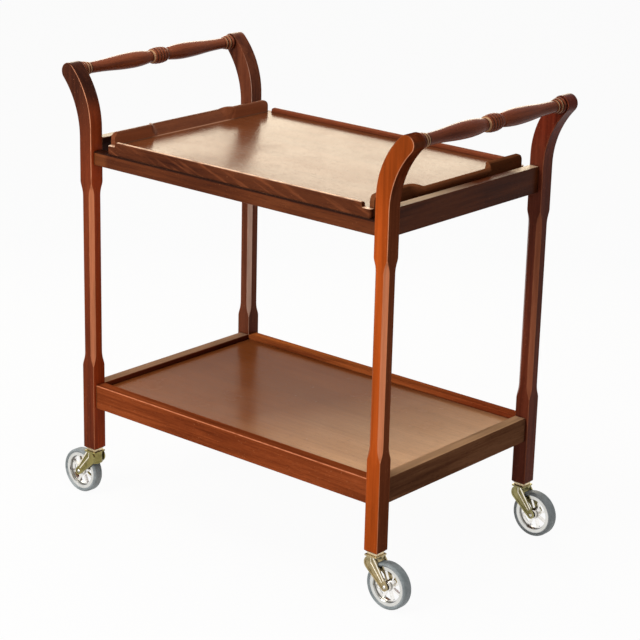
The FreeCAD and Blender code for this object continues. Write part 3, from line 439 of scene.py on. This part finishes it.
# Share of an arm's half width and how far in from it, and the ridge's foot and top past the arm's face
RIDGES = ((0.18, 0.0, -0.0011, 0.0003), (1.0, 0.0013, -0.0001, 0.0005))
RIDGE_ROUND = ((-1.0, 0.0), (-0.7, 0.7), (0.0, 1.0), (0.7, 0.7), (1.0, 0.0))
RIDGE_STEPS = 8
RIDGE_END = 0.8  # share of the way to the axle
RIDGE_HEAD = (0.75, 0.0022)  # its first point: share of the second one's distance, and how far below the fork's top


def add_trim(name, mesh, corner, material):
    """Makes a piece of a castor's trim that turns with the castor."""
    bmesh.ops.recalc_face_normals(mesh, faces=mesh.faces)
    data = bpy.data.meshes.new(name)
    mesh.to_mesh(data)
    mesh.free()
    piece = bpy.data.objects.new(name, data)
    scene.collection.objects.link(piece)
    data.materials.append(material)
    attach(piece, f"castor_{corner}")


def loft(mesh, rings):
    """Joins rings of points into a closed skin."""
    rings = [[mesh.verts.new(point) for point in ring] for ring in rings]
    for ring, following in zip(rings, rings[1:]):
        for index in range(len(ring)):
            other = (index + 1) % len(ring)
            mesh.faces.new((ring[index], ring[other], following[other], following[index]))
    mesh.faces.new(rings[0])
    mesh.faces.new(rings[-1])


def make_plate(corner):
    """Square plate on top of a fork, under the castor's shoe."""
    stem = middle(f"castor_stem_{corner}")
    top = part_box(f"castor_fork_{corner}")[1][2]
    rings = []
    for inset, rise in PLATE_OUTLINE:
        radius = PLATE_CORNER - inset
        ring = []
        for turn, signs in enumerate(((1, 1), (-1, 1), (-1, -1), (1, -1))):
            x, y = (stem[axis] + signs[axis] * (PLATE_HALF[axis] - inset - radius) for axis in (0, 1))
            for step in range(PLATE_CORNER_POINTS):
                angle = math.pi / 2 * (turn + step / (PLATE_CORNER_POINTS - 1))
                ring.append((x + radius * math.cos(angle), y + radius * math.sin(angle), top + rise))
        rings.append(ring)
    mesh = bmesh.new()
    loft(mesh, rings)
    add_trim(f"castor_plate_{corner}", mesh, corner, brass[corner])


def make_ridges(corner):
    """Two pressed ridges along each arm of a fork, from its top to the axle."""
    stem_x, stem_y, _ = middle(f"castor_stem_{corner}")
    axle_x, _, axle_z = middle(f"castor_axle_{corner}")
    fork_low, fork_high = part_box(f"castor_fork_{corner}")
    boss = axle_z - fork_low[2]
    heading = math.copysign(1, axle_x - stem_x)
    arm = Vector((abs(axle_x - stem_x), axle_z - fork_high[2] + LOBE))
    across = Vector((-arm.y, arm.x)).normalized()
    face = (fork_high[1] - fork_low[1]) / 2
    mesh = bmesh.new()
    for share, inset, foot, top in RIDGES:
        path = []
        for step in range(RIDGE_STEPS + 1):
            run = RIDGE_END * step / RIDGE_STEPS
            half = LOBE + run * (boss - LOBE)
            path.append(arm * run + across * (share * half - inset))
        path.insert(0, Vector((path[0].x * RIDGE_HEAD[0], LOBE - RIDGE_HEAD[1])))
        for side in (-1, 1):
            rings = []
            for point in path:
                ring = []
                for along, out in RIDGE_ROUND:
                    spot = point + across * along * RIDGE_HALF
                    ring.append((stem_x + heading * spot.x, stem_y + side * (face + foot + out * (top - foot)),
                                 fork_high[2] - LOBE + spot.y))
                rings.append(ring)
            loft(mesh, rings)
    add_trim(f"castor_ridges_{corner}", mesh, corner, ridge_highlight_brass)


for corner in CORNERS:
    make_plate(corner)
    make_ridges(corner)

# Floor, light and camera
FLOOR_HALF = 30
FLOOR_GREY = 0.75
FLOOR_GLOW = 0.95  # share of white that the camera and reflections see; the rest keeps the shadow
WHITE = (1, 1, 1, 1)
WORLD_LIGHT = 0.27
WHITE_RAYS = ("Is Camera Ray", "Is Glossy Ray", "Is Transmission Ray")
# Name, place, aim, size, power and colour
LAMPS = (("key", (-0.5, -3.3, 1.8), (0, 0, 0.45), (1.6, 1.6), 90, (1, 0.97, 0.92)),
         ("top", (0.1, -0.5, 2.7), (0, 0, 0.5), (1.8, 1.8), 28, (1, 0.97, 0.92)),
         ("back_window", (-1.06, 1.26, 1.1), (-0.42, 0.49, 1.1), (1.5, 0.56), 13.2, (1, 0.87, 0.62)))
# The photo's camera, with its size, focal length and centre in pixels
PHOTO = 640
FOCAL = 2117.778
CENTRE = (325.736, 361.518)
SENSOR = 36
CAMERA_PLACE = (2.25809, -2.63823, 1.49304)
CAMERA_RIGHT = Vector((0.759707, 0.649799, 0.024594))
CAMERA_UP = Vector((-0.231527, 0.234955, 0.944033))


def make_floor():
    """Pale floor that looks white to the camera and in reflections."""
    mesh = bpy.data.meshes.new("floor")
    signs = ((-1, -1), (1, -1), (1, 1), (-1, 1))
    mesh.from_pydata([(x * FLOOR_HALF, y * FLOOR_HALF, 0) for x, y in signs], [], [(0, 1, 2, 3)])
    floor = bpy.data.objects.new("floor", mesh)
    scene.collection.objects.link(floor)
    g = Graph("floor_white")
    g.feed(g.shader, {"Base Color": (FLOOR_GREY, FLOOR_GREY, FLOOR_GREY, 1), "Roughness": 0.9,
                      "Specular IOR Level": 0.0})
    path = g.add("LightPath")
    camera, glossy, transmission = (path.outputs[ray] for ray in WHITE_RAYS)
    seen = g.math("MAXIMUM", g.math("MAXIMUM", camera, glossy), transmission)
    white = g.add("Emission", {"Color": WHITE, "Strength": 1.0})
    blend = g.add("MixShader", {0: g.math("MULTIPLY", seen, FLOOR_GLOW), 1: g.shader.outputs[0],
                                2: white.outputs[0]})
    g.feed(g.output, {"Surface": blend.outputs[0]})
    mesh.materials.append(g.material)


def make_world():
    """Soft light from all round, which looks white to the camera and in reflections."""
    world = bpy.data.worlds.new("studio")
    scene.world = world
    world.use_nodes = True
    tree = world.node_tree
    tree.nodes.clear()

    def add(kind):
        return tree.nodes.new("ShaderNode" + kind)

    soft, white, blend, path, output = (add(kind) for kind in (
        "Background", "Background", "MixShader", "LightPath", "OutputWorld"))
    soft.inputs["Color"].default_value = (1, 0.97, 0.93, 1)
    soft.inputs["Strength"].default_value = WORLD_LIGHT
    white.inputs["Color"].default_value = WHITE
    white.inputs["Strength"].default_value = 1
    camera, *others = WHITE_RAYS
    share = path.outputs[camera]
    for ray in others:
        either = add("Math")
        either.operation = "MAXIMUM"
        tree.links.new(share, either.inputs[0])
        tree.links.new(path.outputs[ray], either.inputs[1])
        share = either.outputs[0]
    tree.links.new(share, blend.inputs[0])
    tree.links.new(soft.outputs[0], blend.inputs[1])
    tree.links.new(white.outputs[0], blend.inputs[2])
    tree.links.new(blend.outputs[0], output.inputs[0])


def make_lamp(name, place, aim, size, power, colour):
    """Soft rectangular lamp, aimed at a point."""
    lamp = bpy.data.lights.new(name, "AREA")
    lamp.shape = "RECTANGLE"
    lamp.size, lamp.size_y = size
    lamp.energy = power
    lamp.color = colour
    item = bpy.data.objects.new(name, lamp)
    item.location = place
    item.rotation_euler = (Vector(aim) - Vector(place)).to_track_quat("-Z", "Y").to_euler()
    scene.collection.objects.link(item)


def make_camera():
    """Camera at the photo's viewing angle."""
    camera = bpy.data.cameras.new("camera")
    camera.sensor_width = SENSOR
    camera.sensor_fit = "HORIZONTAL"
    camera.lens = SENSOR * FOCAL / PHOTO
    camera.shift_x = (PHOTO / 2 - CENTRE[0]) / PHOTO
    camera.shift_y = (CENTRE[1] - PHOTO / 2) / PHOTO
    item = bpy.data.objects.new("camera", camera)
    turn = Matrix((CAMERA_RIGHT, CAMERA_UP, CAMERA_RIGHT.cross(CAMERA_UP))).transposed().to_4x4()
    item.matrix_world = Matrix.Translation(CAMERA_PLACE) @ turn
    scene.collection.objects.link(item)
    scene.camera = item


make_floor()
make_world()
for lamp_settings in LAMPS:
    make_lamp(*lamp_settings)
make_camera()
